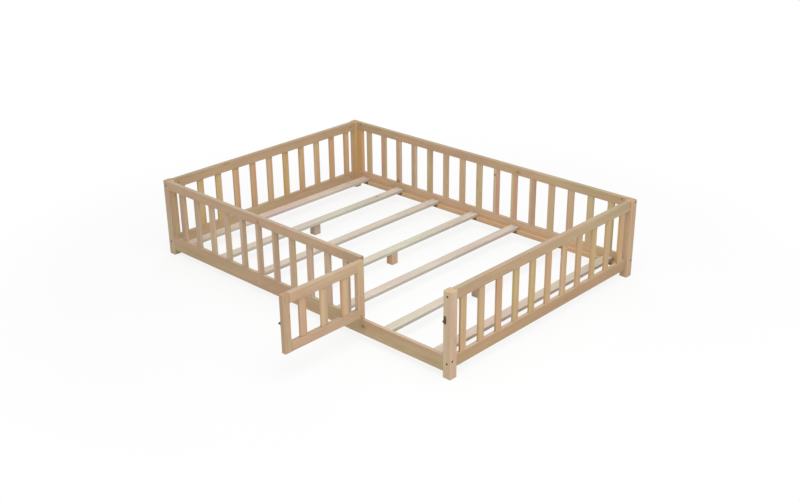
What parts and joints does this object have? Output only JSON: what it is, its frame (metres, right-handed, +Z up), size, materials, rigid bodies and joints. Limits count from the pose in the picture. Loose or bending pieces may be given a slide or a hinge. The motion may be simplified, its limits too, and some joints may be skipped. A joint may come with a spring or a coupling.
{
  "type": "toddler floor bed",
  "caption": "Low slatted pine floor bed for a toddler, railed on all sides, with a small hinged gate and sliding bolt near the foot end.",
  "frame": {"origin": "centre of the posts' footprint, on the floor, under the middle centre leg", "axes": "+X along the bed from head to foot, +Y from the gate side to the back, +Z up"},
  "size_m": [2, 1.9085, 0.42],
  "materials": {
    "pine_frame": "sanded, unfinished",
    "pine_post": "sanded, unfinished",
    "pine_baluster": "sanded, unfinished",
    "pine_slat": "planed, unfinished",
    "beech_dowel": "planed",
    "zinc_steel": "zinc plated",
    "dark_steel": "satin"
  },
  "bodies": {
    "bed_frame": {"back_balusters": "pine_baluster", "back_bottom_rail": "pine_frame", "back_left_stile": "pine_frame", "back_right_stile": "pine_frame", "back_slat_ledge": "pine_frame", "back_top_rail": "pine_frame", "barrel_nuts": "zinc_steel", "centre_leg_1": "pine_frame", "centre_leg_2": "pine_frame", "centre_leg_3": "pine_frame", "fence_balusters": "pine_baluster", "fence_hinge_screws": "zinc_steel", "fence_hinge_stile": "pine_frame", "fence_left_stile": "pine_frame", "fence_top_rail": "pine_frame", "foot_balusters": "pine_baluster", "foot_bottom_rail": "pine_frame", "foot_top_rail": "pine_frame", "front_bottom_rail": "pine_frame", "front_slat_ledge": "pine_frame", "head_balusters": "pine_baluster", "head_bottom_rail": "pine_frame", "head_top_rail": "pine_frame", "keeper": "dark_steel", "keeper_screws": "dark_steel", "ledge_screws": "zinc_steel", "leg_screws": "zinc_steel", "lower_hinge_fixed_leaf": "zinc_steel", "lower_hinge_pin": "zinc_steel", "post_back_left": "pine_post", "post_back_right": "pine_post", "post_bolts": "dark_steel", "post_front_left": "pine_post", "post_front_right": "pine_post", "rail_dowels": "beech_dowel", "slat_1": "pine_slat", "slat_2": "pine_slat", "slat_3": "pine_slat", "slat_4": "pine_slat", "slat_5": "pine_slat", "slat_6": "pine_slat", "slat_7": "pine_slat", "slat_screws": "zinc_steel", "stile_dowels": "beech_dowel", "upper_hinge_fixed_leaf": "zinc_steel", "upper_hinge_pin": "zinc_steel"},
    "gate": {"bolt_housing": "dark_steel", "bolt_housing_screws": "dark_steel", "gate_balusters": "pine_baluster", "gate_bottom_rail": "pine_frame", "gate_dowels": "beech_dowel", "gate_hinge_screws": "zinc_steel", "gate_hinge_stile": "pine_frame", "gate_latch_stile": "pine_frame", "gate_top_rail": "pine_frame", "lower_hinge_gate_leaf": "zinc_steel", "upper_hinge_gate_leaf": "zinc_steel"},
    "slide_bolt": {"bolt_rod": "dark_steel"}
  },
  "joints": [
    {"name": "gate_hinge", "type": "hinge", "parent": "bed_frame", "child": "gate", "pos_m": [0.469, -0.7135, 0.26], "axis": [0, 0, 1], "range_deg": [-85, 90]},
    {"name": "bolt_slide", "type": "slide", "parent": "gate", "child": "slide_bolt", "axis": [0, -1, 0], "range_m": [0, 0.016]}
  ]
}
